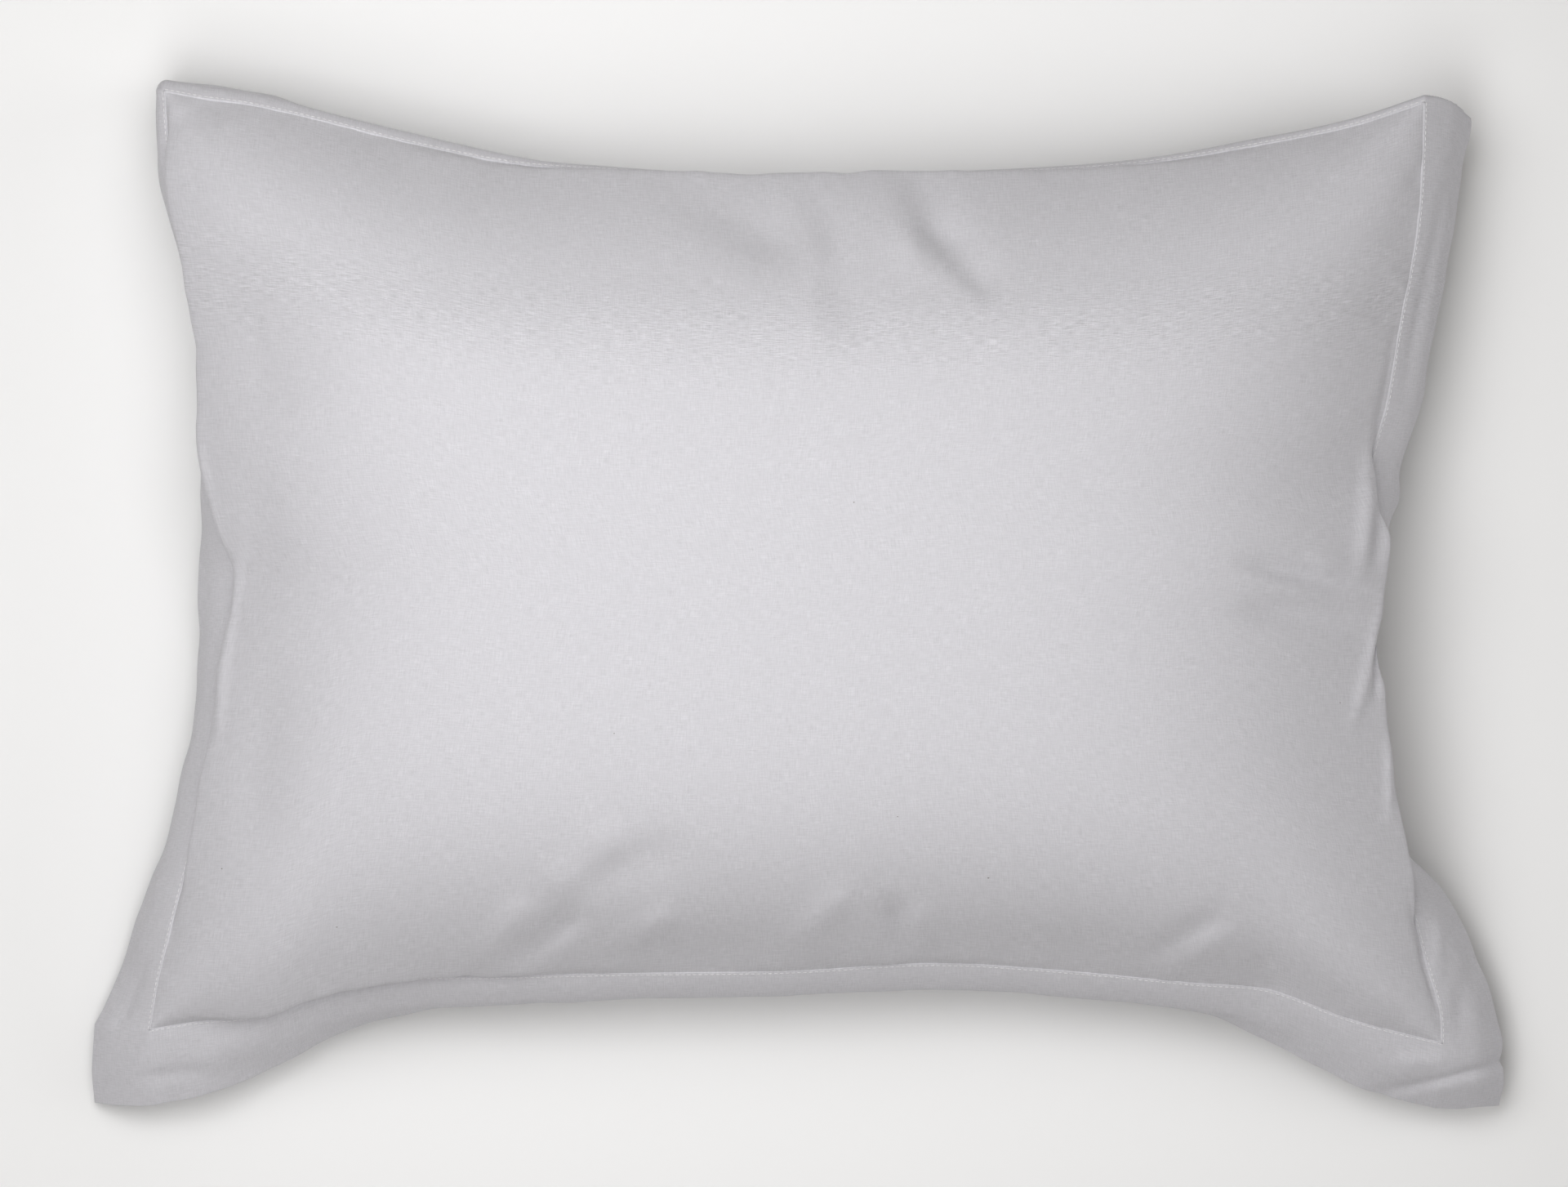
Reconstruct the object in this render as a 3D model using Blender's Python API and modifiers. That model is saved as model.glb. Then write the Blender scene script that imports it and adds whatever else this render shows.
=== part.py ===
"""A pillowcase with a flat border all round, filled by its pillow and lying on its back.

The pocket is one filled solid: a front and a back panel that meet at the stitched line. The border is a
ring of double cloth outside that line, which falls away from it in a curve. Both follow the four sides of
the stitched line, whose drawn-in shape is given by one short table a side.

X runs along the pillow's length, Y up its face and Z up from the surface it lies on.
"""
import math

import bmesh
import bpy
import numpy as np

# Sizes are in millimetres here, and in metres once MM has scaled them.
MM = 0.001

CLOTH_THICKNESS = 2.0
BORDER_WIDTH = 50.0
STITCH_GAP = 0.3
FLOOR = 0.0

# The corners of the stitched line: how far they are along X, Y and up.
CORNERS = {
    "bottom_left": np.array((-342.0, -230.5, 50.0)),
    "bottom_right": np.array((340.0, -237.0, 56.0)),
    "top_left": np.array((-332.5, 264.0, 66.0)),
    "top_right": np.array((329.0, 257.5, 72.0)),
}

# A side's sections. share: place along the side. inset: how far the stitched line is drawn in there.
# swell: how far the filling pushes the front out over the stitches. reach: how far the border's edge
# lies outside the stitches in plan. curl: degrees that the border bends down through by the stitches.
# tuck: degrees that its outer half turns down further.
COLUMNS = ("share", "inset", "swell", "reach", "curl", "tuck")


def sections(*rows):
    """One side's table, with its columns by name."""
    return np.array(list(rows), dtype=[(name, float) for name in COLUMNS])


TOP = sections(
    (0.00, 0.0, 0.0, 9.0, 35.0, 0.0),
    (0.03, 3.6, 0.0, 11.0, 40.0, 0.0),
    (0.06, 6.2, 0.0, 9.8, 40.0, 0.0),
    (0.12, 14.5, 0.0, 7.4, 40.0, 0.0),
    (0.20, 27.5, 1.0, 7.8, 40.0, 0.0),
    (0.28, 37.5, 3.0, 5.6, 35.0, 0.0),
    (0.36, 41.0, 6.0, -0.5, 30.0, 0.0),
    (0.46, 44.0, 7.5, -1.0, 25.0, 0.0),
    (0.55, 43.5, 9.0, -2.0, 25.0, 0.0),
    (0.64, 41.0, 7.0, 0.5, 25.0, 0.0),
    (0.78, 34.0, 4.0, 3.2, 30.0, 0.0),
    (0.87, 23.5, 1.0, 5.0, 40.0, 0.0),
    (0.95, 11.5, 0.0, -1.0, 70.0, 0.0),
    (1.00, 0.0, 0.0, -13.0, 95.0, 0.0),
)
RIGHT = sections(
    (0.00, 0.0, 0.0, 36.0, 6.0, 22.0),
    (0.03, 0.5, 0.0, 33.0, 6.0, 22.0),
    (0.08, 7.0, 2.0, 31.5, 6.0, 20.0),
    (0.125, 13.0, 6.0, 27.5, 10.0, 15.0),
    (0.16, 17.0, 9.0, 21.5, 20.0, 10.0),
    (0.20, 21.5, 12.0, 9.0, 35.0, 0.0),
    (0.25, 29.0, 13.0, 3.0, 45.0, 0.0),
    (0.36, 36.5, 14.5, 7.0, 40.0, 0.0),
    (0.44, 37.0, 12.5, 5.5, 35.0, 0.0),
    (0.55, 29.0, 9.5, 8.0, 25.0, 5.0),
    (0.58, 31.5, 8.0, 17.0, 15.0, 20.0),
    (0.61, 33.0, 5.0, 19.5, 6.0, 30.0),
    (0.68, 24.0, 2.0, 21.0, 5.0, 32.0),
    (0.76, 16.5, 0.0, 21.5, 5.0, 32.0),
    (0.87, 5.3, 0.0, 21.5, 5.0, 30.0),
    (0.95, 1.5, 0.0, 26.0, 5.0, 25.0),
    (1.00, 0.0, 0.0, 27.5, 5.0, 22.0),
)
BOTTOM = sections(
    (0.00, 0.0, 0.0, 42.5, 5.0, 8.0),
    (0.03, 4.0, 2.0, 41.5, 6.0, 8.0),
    (0.09, 8.5, 7.0, 30.5, 8.0, 12.0),
    (0.13, 18.5, 12.0, 26.0, 12.0, 20.0),
    (0.19, 28.5, 11.0, 20.5, 15.0, 30.0),
    (0.26, 31.0, 5.0, 16.5, 15.0, 38.0),
    (0.36, 33.5, 1.0, 11.5, 12.0, 45.0),
    (0.50, 36.0, 0.5, 8.2, 10.0, 50.0),
    (0.61, 40.5, 2.0, 9.8, 10.0, 50.0),
    (0.72, 36.5, 0.5, 10.0, 10.0, 48.0),
    (0.81, 31.0, 0.5, 15.0, 10.0, 40.0),
    (0.86, 28.5, 0.0, 26.5, 8.0, 25.0),
    (0.93, 12.0, 0.0, 35.0, 6.0, 20.0),
    (1.00, 0.0, 0.0, 37.0, 5.0, 22.0),
)
LEFT = sections(
    (0.00, 0.0, 0.0, 33.5, 5.0, 8.0),
    (0.05, 4.3, 0.0, 25.0, 6.0, 12.0),
    (0.12, 12.5, 2.0, 23.3, 8.0, 18.0),
    (0.20, 22.5, 7.0, 18.0, 12.0, 22.0),
    (0.28, 31.5, 12.0, 18.0, 15.0, 22.0),
    (0.34, 37.5, 14.0, 19.0, 15.0, 20.0),
    (0.42, 43.5, 14.0, 22.5, 12.0, 18.0),
    (0.48, 47.5, 14.0, 27.5, 10.0, 15.0),
    (0.54, 39.0, 14.0, 18.5, 15.0, 18.0),
    (0.61, 31.5, 14.0, 10.0, 30.0, 10.0),
    (0.70, 26.0, 11.0, 5.0, 40.0, 0.0),
    (0.77, 20.5, 10.0, 3.5, 35.0, 0.0),
    (0.84, 14.5, 11.5, 10.5, 35.0, 0.0),
    (0.90, 7.5, 11.0, 12.5, 40.0, 0.0),
    (0.94, 3.5, 7.0, 11.0, 40.0, 0.0),
    (1.00, 0.0, 0.0, 6.0, 40.0, 0.0),
)

# Each side runs between two corners. outward points away from the pillow, rise is how much higher the
# stitched line lies at the side's middle, and fullness and edge shape the panels towards that side.
SIDES = {
    "top": dict(table=TOP, start="top_left", end="top_right", outward=(0.0, 1.0), rise=15.0),
    "right": dict(table=RIGHT, start="bottom_right", end="top_right", outward=(1.0, 0.0), rise=14.0),
    "bottom": dict(table=BOTTOM, start="bottom_left", end="bottom_right", outward=(0.0, -1.0), rise=21.0),
    "left": dict(table=LEFT, start="bottom_left", end="top_left", outward=(-1.0, 0.0), rise=18.0),
}
RISE_SPREAD = 0.6

# The panels' height over the stitched line, how full each is towards its sides, and how far the slopes
# of two sides carry on into the corner between them.
FRONT_CROWN = 86.0
BACK_CROWN = 122.0
FRONT_SHAPE = {
    "top": dict(fullness=3.4, edge=1.05),
    "right": dict(fullness=4.4, edge=1.05),
    "bottom": dict(fullness=4.4, edge=1.03),
    "left": dict(fullness=5.8, edge=1.00),
}
BACK_SHAPE = {
    "top": dict(fullness=2.6, edge=0.60),
    "right": dict(fullness=2.8, edge=0.60),
    "bottom": dict(fullness=2.6, edge=0.60),
    "left": dict(fullness=2.8, edge=0.60),
}
CORNER_FULLNESS = 1.3
FLATTENED = 12.0
SWELL_DEPTH = 15.0

# The border's curl lies within BEND_DEPTH of the stitches, and its tuck about a place across it. The upper
# left corner hangs down, where its diagonal is longer than its width.
BEND_DEPTH = 7.0
TUCK_PLACE = 0.5
TUCK_SOFTNESS = 0.06
HANGING_DIAGONAL = 1.22

# The main folds of the front: middle, direction in degrees, length, width, and height (a dent is below 0).
FOLDS = np.array([
    (-20.0, 190.0, -40.0, 96.0, 16.0, -7.0),
    (29.0, 176.0, -82.0, 100.0, 14.0, -5.5),
    (58.0, 194.0, -63.0, 84.0, 14.0, 5.0),
    (74.0, 196.0, -62.0, 92.0, 12.0, -8.0),
    (10.0, 137.0, 1.0, 520.0, 22.0, 3.5),
    (-288.0, 140.0, -60.0, 95.0, 25.0, -5.0),
    (-280.0, -85.0, 85.0, 90.0, 20.0, -4.0),
    (270.0, 4.0, -8.0, 70.0, 16.0, -5.0),
    (-130.0, -180.0, 42.0, 44.0, 14.0, -5.0),
    (-55.0, -186.0, 3.0, 78.0, 14.0, -5.5),
    (122.0, -186.0, -1.0, 112.0, 14.0, -5.5),
    (197.0, -181.0, 36.0, 52.0, 12.0, -5.0),
], dtype=[(name, float) for name in ("x", "y", "direction", "length", "width", "height")])

# Mesh spacing: cells along each side, across the border, and along each edge of its square corners.
LENGTH_CELLS = 46
WIDTH_CELLS = 34
BORDER_SHARES = np.array((0.0, 0.05, 0.13, 0.27, 0.4, 0.5, 0.6, 0.8, 1.0))
CORNER_CELLS = 4
EDGE_CROWDING = 0.62
ARC_SAMPLES = 121

CLOTH_COLOUR = (0.62, 0.62, 0.645, 1.0)
CLOTH_ROUGHNESS = 0.92


def at_share(side, column, share):
    """A column of a side's table at any share, as a smooth cubic through its rows."""
    table = SIDES[side]["table"]
    places = table["share"]
    values = table[column]
    slopes = np.gradient(values, places)
    row = np.clip(np.searchsorted(places, share, side="right") - 1, 0, len(places) - 2)
    span = places[row + 1] - places[row]
    t = (share - places[row]) / span
    rise = values[row + 1] - values[row]
    ease = t * t * (3.0 - 2.0 * t)
    bend_start = t * (1.0 - t) ** 2 * span * slopes[row]
    bend_end = t * t * (t - 1.0) * span * slopes[row + 1]
    return values[row] + rise * ease + bend_start + bend_end


def crowded(cells):
    """Shares from 0 to 1 that lie closer together towards both ends."""
    even = np.linspace(-1.0, 1.0, cells + 1)
    crowd = np.sin(0.5 * math.pi * even)
    return 0.5 + 0.5 * ((1.0 - EDGE_CROWDING) * even + EDGE_CROWDING * crowd)


def stitched_line(side, share):
    """Points of the stitched line on one side: straight between its corners, then drawn in and raised."""
    start = CORNERS[SIDES[side]["start"]]
    end = CORNERS[SIDES[side]["end"]]
    points = start + (end - start) * share[..., None]
    inset = at_share(side, "inset", share)
    points[..., :2] -= np.array(SIDES[side]["outward"]) * inset[..., None]
    points[..., 2] += SIDES[side]["rise"] * np.clip(np.sin(math.pi * share), 0.0, 1.0) ** RISE_SPREAD
    return points


def between_sides(p, q):
    """A surface that spans the stitched line: p runs left to right and q bottom to top, from 0 to 1."""
    across = (1.0 - p)[..., None] * stitched_line("left", q) + p[..., None] * stitched_line("right", q)
    along = (1.0 - q)[..., None] * stitched_line("bottom", p) + q[..., None] * stitched_line("top", p)
    low = (1.0 - p)[..., None] * CORNERS["bottom_left"] + p[..., None] * CORNERS["bottom_right"]
    high = (1.0 - p)[..., None] * CORNERS["top_left"] + p[..., None] * CORNERS["top_right"]
    flat = (1.0 - q)[..., None] * low + q[..., None] * high
    return across + along - flat


def roundness(towards, distance):
    """1 at the middle of the pillow and 0 at a side, where distance is 1."""
    return np.clip(1.0 - distance ** towards["fullness"], 0.0, 1.0) ** towards["edge"]


def dome(shape, p, q):
    """The height of a panel as a share of its crown, which keeps a slope in the corners."""
    u = 2.0 * p - 1.0
    v = 2.0 * q - 1.0
    along = np.where(u < 0.0, roundness(shape["left"], abs(u)), roundness(shape["right"], abs(u)))
    up = np.where(v < 0.0, roundness(shape["bottom"], abs(v)), roundness(shape["top"], abs(v)))
    product = along * up
    total = along ** CORNER_FULLNESS + up ** CORNER_FULLNESS - product ** CORNER_FULLNESS
    return product / np.maximum(total, 1e-9) ** (1.0 / CORNER_FULLNESS)


def swell(p, q):
    """How far the front is pushed out over the stitches, in plan."""
    length = CORNERS["bottom_right"][0] - CORNERS["bottom_left"][0]
    width = CORNERS["top_left"][1] - CORNERS["bottom_left"][1]
    push = np.zeros(p.shape + (2,))
    for side, share, depth in (
        ("left", q, p * length),
        ("right", q, (1.0 - p) * length),
        ("bottom", p, q * width),
        ("top", p, (1.0 - q) * width),
    ):
        near = depth / SWELL_DEPTH
        amount = at_share(side, "swell", share) * near * np.exp(1.0 - near)
        push += amount[..., None] * np.array(SIDES[side]["outward"])
    return push


def folds(x, y):
    """The height of the main folds at a place on the front, each a soft long ridge or dent."""
    height = np.zeros(x.shape)
    for fold in FOLDS:
        turn = math.radians(fold["direction"])
        along = (x - fold["x"]) * math.cos(turn) + (y - fold["y"]) * math.sin(turn)
        across = (y - fold["y"]) * math.cos(turn) - (x - fold["x"]) * math.sin(turn)
        spread = (2.0 * along / fold["length"]) ** 4 + (across / fold["width"]) ** 2
        height += fold["height"] * np.exp(-spread)
    return height


def flattened(height):
    """Heights above the surface the pillow lies on: rounded into it, and flat where it rests."""
    rounded = (height + FLATTENED) ** 2 / (4.0 * FLATTENED)
    return np.where(height > FLATTENED, height, np.where(height > -FLATTENED, rounded, FLOOR))


def front_panel(p, q):
    """The front of the pocket: it starts at the top of the blunt stitched edge."""
    points = between_sides(p, q)
    dome_share = dome(FRONT_SHAPE, p, q)
    points[..., :2] += swell(p, q)
    points[..., 2] += FRONT_CROWN * dome_share + 0.5 * CLOTH_THICKNESS
    points[..., 2] += folds(points[..., 0], points[..., 1]) * np.minimum(1.0, 2.0 * dome_share)
    return points


def back_panel(p, q):
    """The back of the pocket: it starts at the bottom of the blunt stitched edge."""
    points = between_sides(p, q)
    height = points[..., 2] - BACK_CROWN * dome(BACK_SHAPE, p, q) - 0.5 * CLOTH_THICKNESS
    points[..., 2] = flattened(height)
    return points


def fall(reach, curl, tuck):
    """The border's path out from the stitches: (out, down) at even steps of its width, and its first angle.

    Its angle below level grows by curl near the stitches, and by tuck about halfway across. The first angle
    is the one that brings the edge out to reach.
    """
    share = np.linspace(0.0, 1.0, ARC_SAMPLES)
    bend = math.radians(curl) * (1.0 - np.exp(-share * BORDER_WIDTH / BEND_DEPTH))
    bend = bend + math.radians(tuck) / (1.0 + np.exp((TUCK_PLACE - share) / TUCK_SOFTNESS))
    cosine = float(np.cos(bend).mean())
    sine = float(np.sin(bend).mean())
    part = reach / (BORDER_WIDTH * math.hypot(cosine, sine))
    angle = math.acos(max(-1.0, min(1.0, part))) - math.atan2(sine, cosine) + bend
    middle = 0.5 * (angle[1:] + angle[:-1])
    step = BORDER_WIDTH / (ARC_SAMPLES - 1)
    out = np.concatenate(((0.0,), np.cumsum(np.cos(middle)) * step))
    down = np.concatenate(((0.0,), np.cumsum(np.sin(middle)) * step))
    return out, down, angle[0]


def side_fall(side, share):
    """The path of the border at a place on one side."""
    place = np.array(share)
    return fall(*(float(at_share(side, column, place)) for column in ("reach", "curl", "tuck")))


def along_path(path, distance):
    """(out, down) of a path at a distance from the stitches, measured along the cloth."""
    out, down, _ = path
    length = np.linspace(0.0, BORDER_WIDTH, ARC_SAMPLES)
    return np.interp(distance, length, out), np.interp(distance, length, down)


def root_gap(path):
    """How far outside the stitched line the border starts, so that its blunt edge clears the pocket."""
    return STITCH_GAP + 0.5 * CLOTH_THICKNESS * math.sin(path[2])


def side_rays(side, shares):
    """Lines of points across the border, one for each share of a side."""
    outward = np.array(SIDES[side]["outward"])
    rays = []
    for share in shares:
        root = stitched_line(side, np.array(share))
        path = side_fall(side, share)
        out, down = along_path(path, BORDER_SHARES * BORDER_WIDTH)
        ray = np.tile(root, (len(BORDER_SHARES), 1))
        ray[:, :2] += (out + root_gap(path))[:, None] * outward
        ray[:, 2] -= down
        rays.append(ray)
    return rays


def square_corner_rays(corner, first, first_share, second, second_share):
    """Lines of points from a corner of the stitched line across the square of cloth outside it.

    The cloth there bends in both directions at once, and drops like the two sides of a right triangle.
    """
    first_path = side_fall(first, first_share)
    second_path = side_fall(second, second_share)
    first_out = np.array(SIDES[first]["outward"])
    second_out = np.array(SIDES[second]["outward"])
    steps = np.linspace(0.0, 1.0, CORNER_CELLS + 1)
    rays = []
    for first_reach, second_reach in [(1.0, t) for t in steps[1:]] + [(t, 1.0) for t in steps[-2:0:-1]]:
        out_a, down_a = along_path(first_path, BORDER_SHARES * BORDER_WIDTH * first_reach)
        out_b, down_b = along_path(second_path, BORDER_SHARES * BORDER_WIDTH * second_reach)
        ray = np.tile(CORNERS[corner], (len(BORDER_SHARES), 1))
        ray[:, :2] += (out_a + root_gap(first_path) * first_reach)[:, None] * first_out
        ray[:, :2] += (out_b + root_gap(second_path) * second_reach)[:, None] * second_out
        ray[:, 2] -= np.hypot(down_a, down_b)
        rays.append(ray)
    return rays


def hanging_corner_rays(corner, first, first_share, second, second_share):
    """Lines of points from a corner whose border hangs straight down, turning from one side to the next."""
    first_path = side_fall(first, first_share)
    second_path = side_fall(second, second_share)
    count = 2 * CORNER_CELLS
    rays = []
    for index in range(1, count):
        turn = index / count
        angle = 0.5 * math.pi * turn
        direction = math.cos(angle) * np.array(SIDES[first]["outward"])
        direction += math.sin(angle) * np.array(SIDES[second]["outward"])
        out_a, down_a = along_path(first_path, BORDER_SHARES * BORDER_WIDTH)
        out_b, down_b = along_path(second_path, BORDER_SHARES * BORDER_WIDTH)
        longer = min(1.0 / max(math.cos(angle), math.sin(angle)), HANGING_DIAGONAL)
        gap = root_gap(first_path) * (1.0 - turn) + root_gap(second_path) * turn
        ray = np.tile(CORNERS[corner], (len(BORDER_SHARES), 1))
        ray[:, :2] += (out_a * (1.0 - turn) + out_b * turn + gap)[:, None] * direction
        ray[:, 2] -= (down_a * (1.0 - turn) + down_b * turn) * longer
        rays.append(ray)
    return rays


def border_rays():
    """The whole border as lines of points, clockwise from the top left corner and back to it."""
    length = crowded(LENGTH_CELLS)
    width = crowded(WIDTH_CELLS)
    rays = side_rays("top", length)
    rays += square_corner_rays("top_right", "top", 1.0, "right", 1.0)
    rays += side_rays("right", width[::-1])
    rays += square_corner_rays("bottom_right", "right", 0.0, "bottom", 1.0)
    rays += side_rays("bottom", length[::-1])
    rays += square_corner_rays("bottom_left", "bottom", 0.0, "left", 0.0)
    rays += side_rays("left", width)
    rays += hanging_corner_rays("top_left", "left", 1.0, "top", 0.0)
    return np.array(rays + rays[:1])


def cloth_material(name):
    """Light grey woven cloth without a sheen."""
    material = bpy.data.materials.new(name)
    material.use_nodes = True
    shader = material.node_tree.nodes["Principled BSDF"]
    shader.inputs["Base Color"].default_value = CLOTH_COLOUR
    shader.inputs["Roughness"].default_value = CLOTH_ROUGHNESS
    shader.inputs["Metallic"].default_value = 0.0
    material.diffuse_color = CLOTH_COLOUR
    return material


def finished_object(name, mesh, collection):
    """An object of smooth cloth in the pillowcase's collection."""
    mesh.shade_smooth()
    mesh.materials.append(cloth_material(name + "_cloth"))
    thing = bpy.data.objects.new(name, mesh)
    collection.objects.link(thing)
    return thing


def gridded_box():
    """A box from -1 to 1 with its top and bottom cut into cells, which crowd towards the edges."""
    box = bmesh.new()
    bmesh.ops.create_cube(box, size=2.0)
    for axis, cells in ((0, LENGTH_CELLS), (1, WIDTH_CELLS)):
        edges = [e for e in box.edges if abs(e.verts[0].co[axis] - e.verts[1].co[axis]) > 1.0]
        bmesh.ops.subdivide_edges(box, edges=edges, cuts=cells - 1, use_grid_fill=True)
    return box


def make_pocket(collection):
    """The filled pocket: a box whose top becomes the front panel and whose bottom becomes the back."""
    box = gridded_box()
    verts = list(box.verts)
    place = np.array([vert.co[:] for vert in verts])
    p = crowded(LENGTH_CELLS)[np.rint((place[:, 0] + 1.0) * 0.5 * LENGTH_CELLS).astype(int)]
    q = crowded(WIDTH_CELLS)[np.rint((place[:, 1] + 1.0) * 0.5 * WIDTH_CELLS).astype(int)]
    points = np.where(place[:, 2:] > 0.0, front_panel(p, q), back_panel(p, q))
    for vert, point in zip(verts, points * MM):
        vert.co = point
    mesh = bpy.data.meshes.new("pocket")
    box.to_mesh(mesh)
    box.free()
    return finished_object("pocket", mesh, collection)


def make_border(collection):
    """The border: a grid bent into a ring along its lines of points, then given the cloth's thickness."""
    rays = border_rays() * MM
    count = len(rays) - 1
    across = len(BORDER_SHARES) - 1
    ring = bmesh.new()
    bmesh.ops.create_grid(ring, x_segments=count, y_segments=across, size=1.0)
    for vert in ring.verts:
        station = round((vert.co.x + 1.0) * 0.5 * count)
        step = round((1.0 - vert.co.y) * 0.5 * across)
        vert.co = rays[station, across - step]
    bmesh.ops.remove_doubles(ring, verts=ring.verts, dist=0.00001)
    mesh = bpy.data.meshes.new("flange")
    ring.to_mesh(mesh)
    ring.free()
    border = finished_object("flange", mesh, collection)
    thickness = border.modifiers.new("cloth_thickness", "SOLIDIFY")
    thickness.thickness = CLOTH_THICKNESS * MM
    thickness.offset = 0.0
    return border


def centre_on_origin(things):
    """Moves the pillowcase so that the middle of its outline lies over the origin."""
    bpy.context.view_layer.update()
    depsgraph = bpy.context.evaluated_depsgraph_get()
    corners = []
    for thing in things:
        corners += [corner[:] for corner in thing.evaluated_get(depsgraph).bound_box]
    box = np.array(corners)
    middle = 0.5 * (box.min(axis=0) + box.max(axis=0))
    for thing in things:
        thing.location = (-middle[0], -middle[1], 0.0)


def main():
    for thing in list(bpy.data.objects):
        bpy.data.objects.remove(thing, do_unlink=True)
    collection = bpy.data.collections.new("pillowcase")
    bpy.context.scene.collection.children.link(collection)
    centre_on_origin([make_pocket(collection), make_border(collection)])


main()
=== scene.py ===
"""A pillowcase with a flat border all round, filled by its pillow and lying on its back.

The pocket's front and back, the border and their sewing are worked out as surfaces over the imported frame.
The cloth carries its own cutting pattern as a UV map in metres, so that the weave runs with the threads
over the crown, round the seams and out across the border.

Laid out as an add-on: each piece has an operator, and the sizes and colours are properties.
"""
import math

import bpy
import numpy as np
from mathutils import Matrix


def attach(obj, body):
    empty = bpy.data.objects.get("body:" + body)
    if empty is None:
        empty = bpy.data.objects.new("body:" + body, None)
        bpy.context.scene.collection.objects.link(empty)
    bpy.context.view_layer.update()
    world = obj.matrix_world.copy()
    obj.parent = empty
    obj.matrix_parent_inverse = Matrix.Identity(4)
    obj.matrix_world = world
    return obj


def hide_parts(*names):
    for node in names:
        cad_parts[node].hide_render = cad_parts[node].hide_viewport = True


bl_info = {
    "name": "Pillowcase with a flat border",
    "version": (1, 0, 0),
    "blender": (4, 5, 0),
    "location": "View3D > Sidebar > Pillowcase",
    "description": "Dresses a filled pillowcase: woven pocket, border, topstitch and studio",
    "category": "Object",
}

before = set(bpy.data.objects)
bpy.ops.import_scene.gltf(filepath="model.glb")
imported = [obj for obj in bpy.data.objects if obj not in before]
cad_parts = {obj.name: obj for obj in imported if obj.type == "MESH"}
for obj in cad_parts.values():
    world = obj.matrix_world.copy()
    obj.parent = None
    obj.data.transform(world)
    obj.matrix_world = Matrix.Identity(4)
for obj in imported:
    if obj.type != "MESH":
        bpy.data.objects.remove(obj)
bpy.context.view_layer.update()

# Shapes are worked out in millimetres and scaled by MM when they go into a mesh.
MM = 0.001

# Where the sewing pattern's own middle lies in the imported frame.
MIDDLE = np.array((-0.171, 0.285, 0.0))

# The corners of the stitched line: how far they are along X, Y and up.
CORNERS = {
    "bottom_left": np.array((-342.0, -230.5, 50.0)),
    "bottom_right": np.array((340.0, -237.0, 56.0)),
    "top_left": np.array((-332.5, 264.0, 66.0)),
    "top_right": np.array((329.0, 257.5, 72.0)),
}

# Half the size of the pocket as it is cut, before the filling draws its sides in.
CUT_HALF = np.array((350.0, 250.0))

# A side's sections. share: place along the side. inset: how far the stitched line is drawn in there.
# swell: how far the filling pushes the front out over the stitches. reach: how far the border's edge
# lies outside the stitches in plan. curl: degrees that the border bends down through by the stitches.
# tuck: degrees that its outer half turns down further.
SECTION = ("share", "inset", "swell", "reach", "curl", "tuck")

# Folds: middle, direction in degrees, length, width, height (a dent is below 0), and lean, which makes
# the side to the left of its direction gentler and the other side steeper.
FOLD = ("x", "y", "direction", "length", "width", "height", "lean")


def rows(columns, *values):
    """A table as an array with its columns by name."""
    return np.array(list(values), dtype=[(name, float) for name in columns])


TOP = rows(
    SECTION,
    (0.00, 0, 0, 8.3, 46, 0),
    (0.03, 3.6, 0, 10.8, 46, 0),
    (0.06, 6.2, 0, 9.8, 46, 0),
    (0.12, 14.5, 0, 6.8, 44, 0),
    (0.20, 27.5, 1, 7.2, 44, 0),
    (0.28, 37.5, 3, 5.4, 40, 0),
    (0.36, 41, 6, -0.5, 30, 0),
    (0.46, 44, 7.5, -1, 25, 0),
    (0.55, 43.5, 9, -2, 25, 0),
    (0.64, 41, 7, 0.5, 25, 0),
    (0.78, 34, 4, 3, 36, 0),
    (0.87, 23.5, 1, 4.6, 44, 0),
    (0.95, 11.5, 0, -1, 70, 0),
    (1.00, 0, 0, -13, 95, 0),
)
RIGHT = rows(
    SECTION,
    (0.00, 0, 0, 36, 6, 22),
    (0.03, 0.5, 0, 33, 6, 22),
    (0.08, 7, 2, 31.5, 6, 20),
    (0.125, 13, 6, 27.5, 10, 15),
    (0.16, 17, 9, 21.5, 20, 10),
    (0.20, 21.5, 12, 9, 35, 0),
    (0.25, 29, 13, 3, 45, 0),
    (0.36, 36.5, 14.5, 7, 40, 0),
    (0.44, 37, 12.5, 5.5, 35, 0),
    (0.55, 29, 9.5, 8, 25, 5),
    (0.58, 31.5, 8, 17, 15, 20),
    (0.61, 33, 5, 19.5, 6, 30),
    (0.68, 24, 2, 21, 5, 32),
    (0.76, 16.5, 0, 21.5, 5, 32),
    (0.87, 5.3, 0, 21.5, 5, 30),
    (0.95, 1.5, 0, 26, 5, 25),
    (1.00, 0, 0, 27.5, 5, 22),
)
BOTTOM = rows(
    SECTION,
    (0.00, 0, 0, 42.5, 5, 8),
    (0.03, 4, 2, 41.5, 6, 8),
    (0.09, 10, 8, 32, 8, 12),
    (0.13, 22, 9, 29.5, 12, 20),
    (0.19, 29.5, 8, 21.5, 15, 30),
    (0.26, 31, 5, 16.5, 15, 38),
    (0.36, 33.5, 1, 11.5, 12, 45),
    (0.50, 36, 0.5, 8.2, 10, 50),
    (0.61, 40.5, 2, 9.8, 10, 50),
    (0.72, 36.5, 0.5, 10, 10, 48),
    (0.81, 31, 0.5, 15, 10, 40),
    (0.86, 28.5, 0, 26.5, 8, 25),
    (0.93, 12, 0, 35, 6, 20),
    (1.00, 0, 0, 37, 5, 24),
)
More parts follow.
